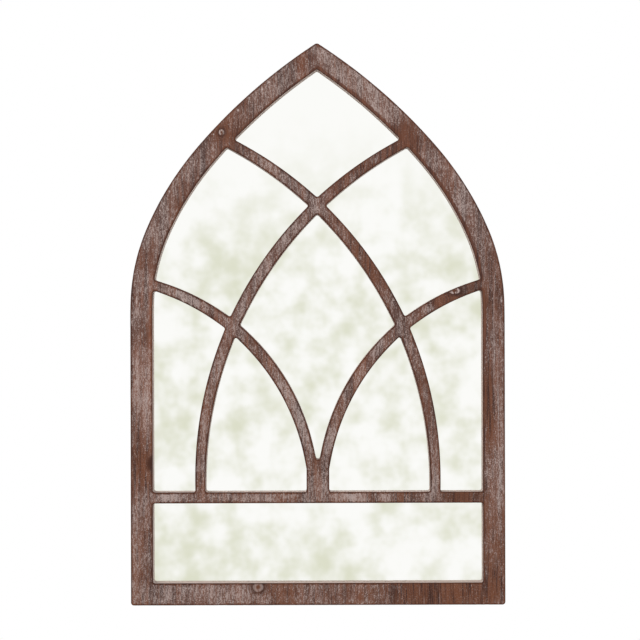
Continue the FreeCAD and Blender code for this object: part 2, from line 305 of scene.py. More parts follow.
def stained_grain(tree, finish, place, grain, knot_body):
    """The colour of the stain: dark and light grain, and warmer where the board is rubbed."""
    bands, fibres = grain
    broad = tree.noise(place, (11.0, 11.0, 5.0), 3.0, 0.55)
    stain = tree.ramp(bands * 0.5 + fibres * 0.5, (
        (0.38, finish.stain_dark), (0.50, finish.stain), (0.62, finish.stain_light)))
    height = tree.axes(place)[2]
    rubbed = tree.step(tree.attribute("wash"), -0.1, -0.8)
    near_foot = tree.step(height, 0.05, -0.35)
    warm = (tree.step(broad, 0.40, 0.66) + rubbed + near_foot) * 0.35 + knot_body * 0.5
    warm_grain = tree.mix(tree.step(bands * 0.3 + fibres * 0.7, 0.42, 0.53),
                          rgba(finish.stain_dark), rgba(finish.stain_warm))
    stain = tree.mix(warm, stain, warm_grain)
    near_tip = tree.step(height, -0.15, 0.15)
    return tree.mix(near_tip * 0.20, stain, rgba(finish.stain_dark))


def brushed_wash(tree, finish, place, grain_place, strokes, specks):
    """The cover of the wash: a thin film, and dry-brush strokes that caught on raised grain."""
    cover = tree.attribute("wash")
    lines = tree.noise(grain_place, (250.0, 250.0, 8.0), 2.0, 0.5)
    patches = tree.noise(place, (80.0, 80.0, 40.0), 3.0, 0.6)
    caught = strokes * 0.46 + specks * 0.32 + lines * 0.14 + patches * 0.08 + cover * 0.085
    film = finish.wash_thin * (0.2 + patches * 1.2 + cover * 0.8)
    strong = tree.step(caught, 0.484, 0.574)
    wash = tree.math("MAXIMUM", film, 0.02) + strong * finish.wash_thick
    worn_through = tree.step(caught, 0.48, 0.40)
    return wash * (1.0 - worn_through * 0.8) + tree.step(specks, 0.53, 0.68) * 0.15


def washed_wood():
    """Reddish-brown stained wood under a dry-brushed off-white wash that follows the grain."""
    finish = bpy.context.scene.mirror_finish
    edge_width = in_mm(finish.edge_width)
    material, tree = new_material("whitewashed_wood")
    place = tree.coordinates()

    # The grain runs up the board with a slow drift, and round the knots.
    bent, knot_dark, knot_wash, knot_body = around_knots(tree, place)
    drift = tree.noise(place, (2.0, 2.0, 5.0), 2.0) - 0.5
    lean = tree.node("ShaderNodeCombineXYZ", None, {"X": drift * 0.012})
    grain_place = tree.vector("ADD", bent, lean)
    bands = tree.noise(grain_place, (60.0, 60.0, 3.0), 3.0, 0.5, 0.4)
    fibres = tree.noise(grain_place, (430.0, 430.0, 17.0), 4.0, 0.6, 0.2)
    pores = tree.noise(grain_place, (300.0, 300.0, 22.0), 3.0, 0.6)
    strokes = tree.noise(grain_place, (640.0, 640.0, 170.0), 3.0, 0.65, 0.3)
    specks = tree.noise(place, (700.0, 700.0, 560.0), 2.0, 0.6)
    stain = stained_grain(tree, finish, place, (bands, fibres), knot_body)
    wash = brushed_wash(tree, finish, place, grain_place, strokes, specks)

    # Stripes along the grain.
    dark = tree.step(pores, 0.55, 0.68) * 0.55
    for stripe in stripes:
        share = around_spot(tree, grain_place, stripe)[1]
        within = tree.step(share, 1.15, 0.85)
        if stripe.strength < 0:
            dark = dark + within * -stripe.strength
            wash = wash * (1.0 - within * -stripe.strength)
        else:
            wash = wash + within * stripe.strength * 0.5

    # Edges are rubbed down to the dark stain. The walls of the panes get a pale wash, partly real
    # wash and partly painted light that makes them look brightly lit.
    edge = tree.attribute("edge")
    ragged = tree.noise(place, (240.0, 240.0, 110.0), 3.0, 0.6) - 0.5
    rim = tree.step(edge + ragged * 4.0, edge_width * 1.3, edge_width * 0.5)
    rubbed = edge + ragged * 7.0 + tree.attribute("rim")
    bare = 1.0 - tree.step(rubbed, edge_width * 2.0, edge_width * 0.9) * 0.93
    depth = tree.axes(place)[1] - face_low.y
    wall = tree.step(depth, 1.5 * MM, 2.8 * MM) * tree.attribute("pane")
    wash = wash * bare * (1.0 - knot_dark) * (1.0 - knot_body * 0.9)
    wash = (wash + knot_wash * tree.step(strokes, 0.38, 0.52)) * (1.0 - rim * 0.95)
    dark = dark * bare + rim * 0.6 + knot_dark * 0.85
    colour = tree.mix(dark, stain, rgba(finish.edge_and_shade_colour))
    colour = tree.mix(wash, colour, rgba(finish.wash_colour))
    # The walls' pale tone is partly wash and partly painted light, paler than the wash so that the
    # walls look brightly lit.
    wall_wash_and_light_tone = tree.mix(specks * 0.5, rgba(finish.wall_wash_and_light_colour), colour)
    colour = tree.mix(wall * finish.wall_wash_and_light_cover, colour, wall_wash_and_light_tone)

    # Painted shade: a dark line in the corner where the board's wall meets the glass.
    thickness = face_high.y - face_low.y
    glass_corner_shade = tree.step(depth, thickness - 1.1 * MM, thickness - 0.7 * MM)
    # The dark line is painted shade in the colour of the rubbed edges.
    colour = tree.mix(glass_corner_shade * 0.5, colour, rgba(finish.edge_and_shade_colour))

    relief = fibres * 0.5 + strokes * 0.5 + bands * 0.5 - knot_dark * 0.6
    tree.surface({
        "Base Color": colour,
        "Roughness": 0.60 + wash * 0.22 - dark * 0.08,
        "Normal": tree.bump(relief, 0.6, 0.0005),
        "Specular IOR Level": 0.2,
    })
    return material


def strip_wood():
    """The stained strips behind the border: plain brown stain, rougher and not washed."""
    finish = bpy.context.scene.mirror_finish
    material, tree = new_material("strip_wood")
    place = tree.coordinates()
    bands = tree.noise(place, (70.0, 140.0, 5.0), 3.0, 0.5, 0.6)
    fibres = tree.noise(place, (600.0, 600.0, 30.0), 4.0, 0.6)
    colour = tree.ramp(bands * 0.6 + fibres * 0.4, (
        (0.30, finish.stain_dark), (0.50, finish.stain), (0.72, finish.stain_light)))
    scuffs = tree.step(tree.noise(place, (90.0, 90.0, 40.0), 4.0, 0.7), 0.58, 0.72)
    colour = tree.mix(scuffs * 0.35, colour, rgba(finish.wash_colour))
    tree.surface({
        "Base Color": colour,
        "Roughness": 0.66 + fibres * 0.12,
        "Normal": tree.bump(bands * 0.5 + fibres, 0.5, 0.0003),
    })
    return material


def silvered_glass():
    """Silvered mirror glass: a clean reflection with the faintest haze."""
    material, tree = new_material("silvered_glass")
    place = tree.coordinates()
    haze = tree.step(tree.noise(place, (14.0, 14.0, 14.0), 4.0, 0.6), 0.45, 0.75)
    tree.surface({
        "Base Color": rgba(srgb(251, 251, 248)),
        "Metallic": 1.0,
        "Roughness": 0.004 + haze * 0.006,
    })
    return material


def hardboard():
    """Brown hardboard, its smooth side out, with pressed fibres and a few scuffs."""
    finish = bpy.context.scene.mirror_finish
    material, tree = new_material("hardboard")
    place = tree.coordinates()
    cloud = tree.noise(place, (16.0, 16.0, 16.0), 5.0, 0.6)
    fibre = tree.noise(place, (420.0, 420.0, 380.0), 5.0, 0.75, 0.5)
    flecks = tree.noise(place, (900.0, 900.0, 700.0), 2.0, 0.6)
    colour = tree.ramp(cloud * 0.25 + fibre * 0.75, (
        (0.32, finish.board_dark), (0.50, finish.board), (0.68, finish.board_light)))
    colour = tree.mix(tree.step(flecks, 0.66, 0.76) * 0.5, colour, rgba(finish.board_light))
    edge = tree.step(tree.attribute("edge"), 1.4, 0.2)
    colour = tree.mix(edge * 0.5, colour, rgba(finish.board_dark))
    scuffs = tree.step(tree.noise(place, (30.0, 30.0, 5.0), 6.0, 0.75, 2.0), 0.62, 0.70)
    tree.surface({
        "Base Color": tree.mix(scuffs * 0.18, colour, rgba(finish.board_light)),
        "Roughness": 0.52 + fibre * 0.25,
        "Normal": tree.bump(fibre + flecks * 0.3, 0.35, 0.00025),
    })
    return material


def zinc_steel(name, brushed_along):
    """Zinc-plated steel with a soft mottled sheen and fine drawing lines."""
    finish = bpy.context.scene.mirror_finish
    material, tree = new_material(name)
    place = tree.coordinates()
    mottle = tree.noise(place, (260.0, 260.0, 260.0), 4.0, 0.6)
    lines = tree.noise(place, brushed_along, 3.0, 0.6)
    tarnish = tree.step(tree.noise(place, (700.0, 700.0, 700.0), 3.0, 0.6), 0.58, 0.75)
    colour = tree.mix(mottle, rgba(finish.steel_dark), rgba(finish.steel))
    tree.surface({
        "Base Color": tree.mix(tarnish * 0.35, colour, rgba(finish.steel_dark)),
        "Metallic": 1.0,
        "Roughness": 0.24 + mottle * 0.20 + tarnish * 0.15,
        "Normal": tree.bump(lines, 0.25, 0.00005),
    })
    return material


def soft_fibre(name, colour, light, scale):
    """A soft matt surface of short fibres or small cells."""
    material, tree = new_material(name)
    place = tree.coordinates()
    tufts = tree.noise(place, (scale, scale, scale), 5.0, 0.75, 1.0)
    cells = tree.noise(place, (scale * 2.5, scale * 2.5, scale * 2.5), 3.0, 0.7)
    tree.surface({
        "Base Color": tree.mix(tree.step(tufts, 0.35, 0.70), rgba(colour), rgba(light)),
        "Roughness": 0.86 + cells * 0.12,
        "Sheen Weight": 0.35,
        "Normal": tree.bump(tufts + cells * 0.5, 0.8, 0.0004),
    })
    return material


# ---- outlines and boards ----

def node_outlines(node, depth):
    """Outlines of a node's flat side at a depth, in mm, with the material on their left."""
    mesh = frame["nodes"][node].data
    keys = {}
    ids = []
    places = []
    for vertex in mesh.vertices:
        key = tuple(round(value * 1e5) for value in vertex.co)
        if key not in keys:
            keys[key] = len(places)
            places.append((vertex.co.x / MM, vertex.co.z / MM))
        ids.append(keys[key])
    follows = {}
    for polygon in mesh.polygons:
        flat = all(abs(mesh.vertices[index].co.y - depth) < 2e-5 for index in polygon.vertices)
        if flat:
            loop = [ids[index] for index in polygon.vertices]
            for start, end in zip(loop, loop[1:] + loop[:1]):
                if follows.get(end) and start in follows[end]:
                    follows[end].remove(start)
                else:
                    follows.setdefault(start, []).append(end)
    outlines = []
    while any(follows.values()):
        start = next(point for point, ends in follows.items() if ends)
        loop = [start]
        while follows[loop[-1]]:
            step = follows[loop[-1]].pop()
            if step == start:
                break
            loop.append(step)
        outlines.append(np.array([places[index] for index in loop]))
    return turned_outlines(outlines)


def turned_outlines(outlines):
    """The outlines that are larger than fastener holes, turned so that material is on the left."""
    large = [loop for loop in outlines if np.ptp(loop, axis=0).max() > smallest_outline]
    large.sort(key=lambda loop: -np.ptp(loop, axis=0).prod())
    turned = []
    for index, loop in enumerate(large):
        following = np.roll(loop, -1, axis=0)
        area = (loop[:, 0] * following[:, 1] - following[:, 0] * loop[:, 1]).sum()
        counter_clockwise = area > 0
        is_outer = index == 0
        turned.append(loop if counter_clockwise == is_outer else loop[::-1])
    return turned


def fine_outline(loop, step):
    """An outline with points about a step apart, its long curves smoothed and corners kept."""
    smallest_turn = math.radians(0.3)
    turn_reach = 3.0
    rounds = 160
    points = []
    for start, end in zip(loop, np.roll(loop, -1, axis=0)):
        count = max(1, int(math.ceil(np.hypot(*(end - start)) / step)))
        points += [start + (end - start) * index / count for index in range(count)]
    points = np.array(points)
    ahead = np.roll(points, -1, axis=0) - points
    behind = points - np.roll(points, 1, axis=0)
    cross = behind[:, 0] * ahead[:, 1] - behind[:, 1] * ahead[:, 0]
    turn = np.arctan2(cross, (behind * ahead).sum(axis=1))
    run = np.concatenate([[0.0], np.cumsum(np.hypot(*ahead.T))])
    length = run[-1]
    run = run[:-1]
    free = np.ones(len(points))
    for index in np.nonzero(np.abs(turn) > smallest_turn)[0]:
        gap = np.abs(run - run[index])
        gap = np.minimum(gap, length - gap)
        if np.abs(turn[gap < turn_reach].sum()) > corner_turn:
            free[gap < corner_keep] = 0.0
    for _ in range(rounds):
        middle = (np.roll(points, 1, axis=0) + np.roll(points, -1, axis=0)) / 2
        points += (middle - points) * 0.5 * free[:, None]
    return points


def left_normals(points):
    """Vectors across an outline, towards the material, one long between two even runs.

    At a corner the vector is longer, so that an outline moved along it stays parallel.
    """
    ahead = np.roll(points, -1, axis=0) - points
    ahead /= np.hypot(*ahead.T)[:, None]
    middle = ahead + np.roll(ahead, 1, axis=0)
    middle /= np.hypot(*middle.T)[:, None]
    length = 1.0 / np.clip((middle * ahead).sum(axis=1), 0.4, 1.0)
    return np.stack([-middle[:, 1], middle[:, 0]], axis=1) * length[:, None]


def inside(points, outlines):
    """Which points lie on the material's side of all outlines."""
    starts = np.concatenate(outlines)
    ends = np.concatenate([np.roll(loop, -1, axis=0) for loop in outlines])
    result = np.zeros(len(points), bool)
    chunk = 400
    for first in range(0, len(points), chunk):
        x = points[first:first + chunk, 0][:, None]
        z = points[first:first + chunk, 1][:, None]
        crosses = (starts[:, 1] > z) != (ends[:, 1] > z)
        rise = ends[:, 1] - starts[:, 1]
        rise = np.where(rise == 0, 1.0, rise)
        at_x = starts[:, 0] + (z - starts[:, 1]) / rise * (ends[:, 0] - starts[:, 0])
        result[first:first + chunk] = ((crosses & (x < at_x)).sum(axis=1) % 2) == 1
    return result


def filled(outlines, extra):
    """Triangles between outlines, through extra points: point lists and index triples."""
    points = [tuple(point) for loop in outlines for point in loop] + [tuple(p) for p in extra]
    edges = []
    first = 0
    for loop in outlines:
        edges += [(first + i, first + (i + 1) % len(loop)) for i in range(len(loop))]
        first += len(loop)
    vectors = [Vector(point) for point in points]
    made, _, faces, origins, _, _ = delaunay_2d_cdt(vectors, edges, [], 0, 1e-5)
    faces = [[origins[index][0] for index in face] for face in faces]
    places = np.array(points)
    edge_only = [all(index < first for index in face) for face in faces]
    centres = np.array([places[face].mean(axis=0) for face in faces])
    keep = np.ones(len(faces), bool)
    keep[edge_only] = inside(centres[edge_only], outlines)
    return [face for face, kept in zip(faces, keep) if kept]


def grid_points(outlines, spacing, margin):
    """Points of an even grid inside outlines, at least a margin away from them."""
    everything = np.concatenate(outlines)
    low, high = everything.min(axis=0), everything.max(axis=0)
    xs = np.arange(low[0] + spacing / 2, high[0], spacing)
    zs = np.arange(low[1] + spacing / 2, high[1], spacing)
    grid = np.array([(x, z) for x in xs for z in zs])
    grid = grid[inside(grid, outlines)]
    return grid[nearest(grid, outlines) > margin]


def nearest(points, outlines):
    """Distance from each point to the closest outline point."""
    everything = np.concatenate(outlines)
    tree = kdtree.KDTree(len(everything))
    for index, point in enumerate(everything):
        tree.insert((point[0], point[1], 0.0), index)
    tree.balance()
    return np.array([tree.find((point[0], point[1], 0.0))[2] for point in points])


def board(name, outlines, front_y, back_y, rounding, band, spacing, relief):
    """A board between two depths, with rounded front and back edges.

    The outlines are fine outlines in mm. Rounding gives the edge radius at a place, and relief
    gives how far the front is worn down there, both in mm. The front has an even net of points
    inside the band along its edges. A board without a band has the net on both sides.
    """
    thick = (back_y - front_y) / MM
    rings = []
    for loop in outlines:
        across = left_normals(loop)
        radius = np.array([rounding(x, z) for x, z in loop])
        middle = np.minimum(1.4 * radius + 1.0, thick * 0.6)
        rows = [(loop, np.full(len(loop), thick - back_chamfer)), (loop, middle)]
        for angle in np.radians((0.0, 22.5, 45.0, 67.5, 90.0)):
            inwards = radius * (1 - math.cos(angle))
            rows.append((loop + across * inwards[:, None], radius * (1 - math.sin(angle))))
        if band:
            rows.append((loop + across * band, np.zeros(len(loop))))
        rows.insert(0, (loop + across * back_chamfer, np.full(len(loop), thick)))
        rings.append(rows)

    points = []
    edge_distance = []
    faces = []
    front_start = []
    back_start = []
    for loop, rows in zip(outlines, rings):
        count = len(loop)
        first = len(points)
        for row, (place, down) in enumerate(rows):
            from_wall = np.hypot(*(place - loop).T)
            for (x, z), depth, away in zip(place, down, from_wall):
                worn = relief(x, z) if depth < thick / 2 else 0.0
                points.append((x * MM, front_y + min(depth + worn, thick) * MM, z * MM))
                edge_distance.append(away)
        for row in range(len(rows) - 1):
            low, high = first + row * count, first + (row + 1) * count
            for index in range(count):
                after = (index + 1) % count
                faces.append((low + index, low + after, high + after, high + index))
        back_start.append(first)
        front_start.append(first + (len(rows) - 1) * count)

    for starts, row, depth in ((front_start, -1, 0.0), (back_start, 0, thick)):
        loops = [rows[row][0] for rows in rings]
        on_front = depth == 0.0
        extra = grid_points(loops, spacing, spacing * 0.45) if on_front or not band else []
        where = [start + index for start, loop in zip(starts, loops) for index in range(len(loop))]
        away = nearest(extra, outlines) if len(extra) else []
        for (x, z), distance in zip(extra, away):
            where.append(len(points))
            down = relief(x, z) if on_front else thick
            points.append((x * MM, front_y + down * MM, z * MM))
            edge_distance.append(distance)
        faces += [tuple(where[index] for index in face) for face in filled(loops, extra)]

    mesh = bpy.data.meshes.new(name)
    mesh.from_pydata(points, [], faces)
    attribute = mesh.attributes.new("edge", "FLOAT", "POINT")
    attribute.data.foreach_set("value", edge_distance)
    finish_mesh(mesh)
    return mesh


def finish_mesh(mesh):
    """Turn the faces outwards, smooth the shading and keep the sharp edges sharp."""
    sharp_angle = math.radians(50.0)
    work = bmesh.new()
    work.from_mesh(mesh)
    bmesh.ops.recalc_face_normals(work, faces=work.faces)
    for edge in work.edges:
        edge.smooth = edge.calc_face_angle(0.0) < sharp_angle
    for face in work.faces:
        face.smooth = True
    work.to_mesh(mesh)
    work.free()


def place_piece(name, mesh, material, slot, body, *nodes):
    """Put a mesh in the scene as a piece that rides on a body and stands for CAD nodes."""
    piece = bpy.data.objects.new(name, mesh)
    bpy.context.scene.collection.objects.link(piece)
    mesh.materials.clear()
    mesh.materials.append(material)
    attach(piece, body)
    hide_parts(*nodes)
    return piece


def hills(x, z, size_x, size_z, seed):
    """Smooth noise from -1 to 1 over the face, with hills of a size in mm."""
    return noise.noise(Vector((x / size_x, seed * 7.3, z / size_z)))


# ---- settings ----

def colour_setting(name, description, screen_values):
    """A setting for a colour, whose usual value is given as 0 to 255 screen values."""
    return FloatVectorProperty(
        name=name, description=description, subtype="COLOR", default=srgb(*screen_values))


def length_setting(name, description, low, high, usual):
    """A setting for a small length in metres, with its limits and its usual value."""
    return FloatProperty(
        name=name, description=description, unit="LENGTH", precision=5,
        min=low, max=high, default=usual)


class FinishSettings(bpy.types.PropertyGroup):
    """Colours and amounts of the surface finishes."""

    stain: colour_setting("Stain", "Reddish-brown stain of the face board", (95, 57, 43))
    stain_dark: colour_setting("Dark stain", "Stain in the pores and the dark grain", (60, 32, 24))
    stain_light: colour_setting("Light stain", "Stain on the light grain", (128, 79, 58))
    stain_warm: colour_setting(
        "Warm stain", "Orange-brown stain where the board is rubbed smooth", (113, 68, 45))
    # The dark brown of the rubbed edges, also used for the painted shade where the board meets the
    # glass.
    edge_and_shade_colour: colour_setting("Edge", "Dark brown of the rubbed edges", (62, 33, 23))
    wash_colour: colour_setting("Wash", "Off-white wash", (200, 181, 175))
    wash_thin: FloatProperty(
        name="Thin wash", description="Cover of the thin wash",
        min=0.0, max=1.0, subtype="FACTOR", default=0.16)
    wash_thick: FloatProperty(
        name="Thick wash", description="Cover that the thick streaks add",
        min=0.0, max=1.0, subtype="FACTOR", default=0.47)
    # The walls' cover and colour are partly wash and partly painted light that brightens the walls.
    wall_wash_and_light_cover: FloatProperty(
        name="Wash on the walls", description="Cover of the wash on the walls of the panes",
        min=0.0, max=1.0, subtype="FACTOR", default=0.95)
    wall_wash_and_light_colour: colour_setting(
        "Wall colour", "Pale pink-grey wash on the walls of the panes", (216, 197, 188))
    edge_width: length_setting("Edge width", "Width of the rubbed edge", 0.0, 0.01, 0.0019)
    board: colour_setting("Hardboard", "Brown of the backing board", (122, 88, 60))
    board_dark: colour_setting("Dark hardboard", "Dark fibres of the backing board", (94, 64, 42))
    board_light: colour_setting(
        "Light hardboard", "Light fibres of the backing board", (152, 117, 84))
    steel: colour_setting("Steel", "Zinc-plated steel", (205, 206, 204))
    steel_dark: colour_setting("Dull steel", "Dull places of the zinc plating", (158, 158, 154))


class ShapeSettings(bpy.types.PropertyGroup):
    """Sizes of the detail that the pieces get."""

    outline_step: length_setting(
        "Outline step", "Distance between outline points", 0.0005, 0.01, 0.0015)
    net_spacing: length_setting(
        "Net spacing", "Distance between the points of the front surface", 0.002, 0.02, 0.005)
    edge_band: length_setting(
        "Edge band", "Width of the even band along the edges", 0.001, 0.006, 0.003)
    edge_radius: length_setting(
        "Edge radius", "Usual radius of the worn edges", 0.0002, 0.0025, 0.00115)
    strip_radius: length_setting(
        "Strip edge radius", "Edge radius of the strips and the back", 0.0001, 0.0015, 0.00045)
    wire_sides: IntProperty(
        name="Wire sides", description="Sides of the round ring wire", min=8, max=64, default=20)
    ring_corner: length_setting(
        "Ring corner", "Radius of the ring's upper corners", 0.0015, 0.005, 0.0025)
    ring_leg: length_setting("Ring leg", "Straight length of the ring's sides", 0.0, 0.01, 0.0025)
    head_height: length_setting(
        "Screw head height", "Height of the pan heads", 0.001, 0.003, 0.0021)
    recess_arm: length_setting(
        "Recess arm", "Half width of the cross recess's arms", 0.0002, 0.001, 0.00042)
    recess_reach: length_setting(
        "Recess reach", "Reach of the cross recess", 0.0008, 0.0024, 0.00165)
    recess_depth: length_setting(
        "Recess depth", "Depth of the cross recess", 0.0004, 0.0016, 0.0011)


class StageSettings(bpy.types.PropertyGroup):
    """The camera, the lamps and the floor."""

    camera_distance: FloatProperty(
        name="Camera distance", description="From the camera to the front of the frame",
        unit="LENGTH", min=0.5, max=10.0, default=2.25)
    floor_drop: FloatProperty(
        name="Height above the floor", description="From the floor to the foot of the mirror",
        unit="LENGTH", min=0.0, max=2.0, default=0.9)
    floor_size: FloatProperty(
        name="Floor size", description="Length and width of the floor",
        unit="LENGTH", min=1.0, max=20.0, default=7.0)
    key_power: FloatProperty(
        name="Key lamp", description="Power of the main lamp",
        unit="POWER", min=0.0, default=47.0)
    fill_power: FloatProperty(
        name="Fill lamp", description="Power of the fill lamp",
        unit="POWER", min=0.0, default=18.0)
    back_power: FloatProperty(
        name="Back lamp", description="Power of the lamp behind",
        unit="POWER", min=0.0, default=32.0)
    surround: FloatProperty(
        name="Surround", description="Strength of the light from all around",
        min=0.0, max=2.0, default=0.42)


# ---- pieces ----

class MIRROR_OT_face_board(bpy.types.Operator):
    """The border, bars, post and transom, with worn edges and a washed finish"""

    bl_idname = "arched_mirror.face_board"
    bl_label = "Face board"

    def execute(self, context):
        shape = context.scene.mirror_shape
        band = in_mm(shape.edge_band)
        radius = in_mm(shape.edge_radius)
        outlines = [fine_outline(loop, in_mm(shape.outline_step))
                    for loop in node_outlines("face_frame", face_high.y)]

        def rounding(x, z):
            """The edge radius: it wanders in long and short waves, with a chip here and there."""
            worn = 0.40 * hills(x, z, 26.0, 26.0, 1) + 0.30 * hills(x, z, 5.0, 5.0, 2)
            chip = max(0.0, hills(x, z, 9.0, 9.0, 3) - 0.42) * 3.2
            return min(max(radius + worn + chip, 0.5), band - 0.4)

        def relief(x, z):
            """How far the front is worn down, in waves along the grain."""
            long_waves = 0.08 * (1.0 + hills(x, z, 30.0, 160.0, 4))
            return long_waves + 0.05 * abs(hills(x, z, 9.0, 40.0, 5))

        mesh = board("face_board", outlines, face_low.y, face_high.y, rounding,
                     band, in_mm(shape.net_spacing), relief)
        add_wash_cover(mesh, outlines[0])
        place_piece("face_board", mesh, washed_wood(), "whitewashed_wood", "frame", "face_frame")
        return {"FINISHED"}


def add_wash_cover(mesh, border):
    """Hold at each point how thick the wash lies, how far the edges are rubbed, and the panes."""
    usual_cover = -0.18
    count = len(mesh.vertices)
    places = np.zeros(count * 3)
    mesh.vertices.foreach_get("co", places)
    places = places.reshape(-1, 3)
    edge = np.zeros(count)
    mesh.attributes["edge"].data.foreach_get("value", edge)
    places_mm = places[:, [0, 2]] / MM
    cover = np.array([0.45 * hills(x, z, 60.0, 110.0, 6) + 0.40 * hills(x, z, 22.0, 40.0, 9)
                      for x, z in places_mm])
    for spot in wash_spots:
        x, z, reach_x, reach_z = spot_place(spot)
        share = ((places[:, 0] - x) / reach_x) ** 2 + ((places[:, 2] - z) / reach_z) ** 2
        cover += spot.strength * np.exp(-share)
    cover += usual_cover

    # The right arch and its stile are rubbed along the panes, and the left arch a little.
    to_border = nearest(places_mm, [border])
    arch = (to_border > 19.0) & (to_border < 38.0)
    side = np.where(places[:, 0] > 0, 3.2, 0.8) * (places[:, 2] > -0.12)
    wander = np.array([0.9 * hills(x, z, 22.0, 22.0, 8) for x, z in places_mm])
    rim = wander - side * arch * (edge < 14.0)
    pane = (to_border > 12.0).astype(float)
    for name, values in (("wash", cover), ("rim", rim), ("pane", pane)):
        attribute = mesh.attributes.new(name, "FLOAT", "POINT")
        attribute.data.foreach_set("value", values)


class MIRROR_OT_rear_strips(bpy.types.Operator):
    """The five strips behind the border"""

    bl_idname = "arched_mirror.rear_strips"
    bl_label = "Rear strips"

    def execute(self, context):
        radius = in_mm(context.scene.mirror_shape.strip_radius)
        material = strip_wood()
        for node in frame["nodes"]:
            if node.startswith("rear_"):
                low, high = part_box(node)
                outlines = [fine_outline(loop, 3.0) for loop in node_outlines(node, high.y)]
                mesh = board(node + "_strip", outlines, low.y, high.y,
                             lambda x, z: radius, 0.0, 12.0, lambda x, z: 0.0)
                place_piece(node + "_strip", mesh, material, "strip_wood", "frame", node)
        return {"FINISHED"}


class MIRROR_OT_mirror_glass(bpy.types.Operator):
    """The mirror glass"""

    bl_idname = "arched_mirror.mirror_glass"
    bl_label = "Mirror glass"

    def execute(self, context):
        give_material("mirror_glass", silvered_glass())
        return {"FINISHED"}


def give_material(node, material):
    """Give a CAD node another material."""
    mesh = frame["nodes"][node].data
    mesh.materials.clear()
    mesh.materials.append(material)


class MIRROR_OT_backing(bpy.types.Operator):
    """The backing board and the foam pads in front of it"""

    bl_idname = "arched_mirror.backing"
    bl_label = "Backing board and pads"

    def execute(self, context):
        radius = in_mm(context.scene.mirror_shape.strip_radius)
        outlines = [fine_outline(loop, 3.0) for loop in node_outlines("backing_board", back_high.y)]
        mesh = board("backing_sheet", outlines[:1], back_low.y, back_high.y,
                     lambda x, z: radius, 0.0, 20.0, lambda x, z: 0.0)
        place_piece("backing_sheet", mesh, hardboard(), "hardboard", "frame", "backing_board")
        foam = soft_fibre("foam", srgb(214, 213, 206), srgb(236, 235, 230), 900.0)
        mesh = softened_copy("foam_pads", 0.4)
        place_piece("foam_blocks", mesh, foam, "foam", "frame", "foam_pads")
        return {"FINISHED"}


def softened_copy(node, radius, segments=2):
    """A copy of a node's mesh, its points welded and its edges rounded by a radius in mm."""
    sharp_angle = math.radians(40.0)
    flat_angle = math.radians(1.0)
    mesh = frame["nodes"][node].data.copy()
    mesh.name = node + "_softened"
    if mesh.has_custom_normals:
        mesh.normals_split_custom_set([(0.0, 0.0, 0.0)] * len(mesh.loops))
    work = bmesh.new()
    work.from_mesh(mesh)
    bmesh.ops.remove_doubles(work, verts=work.verts, dist=1e-6)
    bmesh.ops.dissolve_limit(work, angle_limit=flat_angle, verts=work.verts, edges=work.edges)
    sharp = [edge for edge in work.edges if edge.calc_face_angle(0.0) > sharp_angle]
    bmesh.ops.bevel(work, geom=sharp, offset=radius * MM, segments=segments, profile=0.5,
                    affect="EDGES", clamp_overlap=True)
    work.to_mesh(mesh)
    work.free()
    finish_mesh(mesh)
    return mesh


class MIRROR_OT_staples(bpy.types.Operator):
    """The staples round the backing board"""

    bl_idname = "arched_mirror.staples"
    bl_label = "Staples"

    def execute(self, context):
        steel = zinc_steel("staple_steel", (900.0, 900.0, 900.0))
        mesh = softened_copy("backing_staples", 0.18)
        place_piece("staple_wires", mesh, steel, "zinc_steel", "frame", "backing_staples")
        return {"FINISHED"}


class MIRROR_OT_hangers(bpy.types.Operator):
    """The straps, D rings and screws that the mirror hangs from"""

    bl_idname = "arched_mirror.hangers"
    bl_label = "Hangers"

    def execute(self, context):
        steel = zinc_steel("strap_steel", (120.0, 2500.0, 2500.0))
        wire = zinc_steel("wire_steel", (2500.0, 2500.0, 120.0))
        for side in ("left", "right"):
            mesh = softened_copy("hanger_strap_" + side, 0.15)
            place_piece("strap_" + side, mesh, steel, "zinc_steel", "frame", "hanger_strap_" + side)
            mesh = ring_mesh("ring_wire_" + side, side)
            place_piece("ring_wire_" + side, mesh, wire, "zinc_steel", "ring_" + side,
                        "hanger_ring_" + side)
        mesh = screw_heads_mesh()
        place_piece("screw_heads", mesh, steel, "zinc_steel", "frame", "hanger_screws")
        return {"FINISHED"}


def screw_heads_mesh():
    """Both pan heads, each with a cross recess whose floor is a disc inside the head."""
    shape = bpy.context.scene.mirror_shape
    low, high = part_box("hanger_screws")
    head_radius = (high.z - low.z) / 2 / MM
    middle_z = (high.z + low.z) / 2 / MM
    arm, reach = in_mm(shape.recess_arm), in_mm(shape.recess_reach)
    corner = [(arm, arm), (arm, reach), (-arm, reach), (-arm, arm)]
    recess = []
    for turn in range(4):
        recess += corner[:3]
        corner = [(-z, x) for x, z in corner]
    angles = np.linspace(0, 2 * math.pi, 40, endpoint=False)
    circle = np.stack([np.cos(angles), np.sin(angles)], axis=1)
    top = -high.y
    work = bmesh.new()
    for side in (1, -1):
        middle = np.array([side * (high.x / MM - head_radius), middle_z])

        def rounding(x, z):
            at_rim = math.hypot(x - middle[0], z - middle[1]) > head_radius * 0.9
            return 0.85 if at_rim else 0.10

        rim = middle + circle * head_radius
        cross = middle + np.array(recess[::-1])
        floor = middle + circle * (reach + 0.3)
        bottom = top + in_mm(shape.head_height) * MM
        recess_floor = top + in_mm(shape.recess_depth) * MM
        for name, outlines, first in (("head", [rim, cross], top),
                                      ("recess", [floor], recess_floor)):
            mesh = board(name, outlines, first, bottom, rounding, 0.0, 1.0, lambda x, z: 0.0)
            work.from_mesh(mesh)
            bpy.data.meshes.remove(mesh)
    for vertex in work.verts:
        vertex.co.y = -vertex.co.y
    mesh = bpy.data.meshes.new("screw_heads")
    work.to_mesh(mesh)
    work.free()
    finish_mesh(mesh)
    return mesh


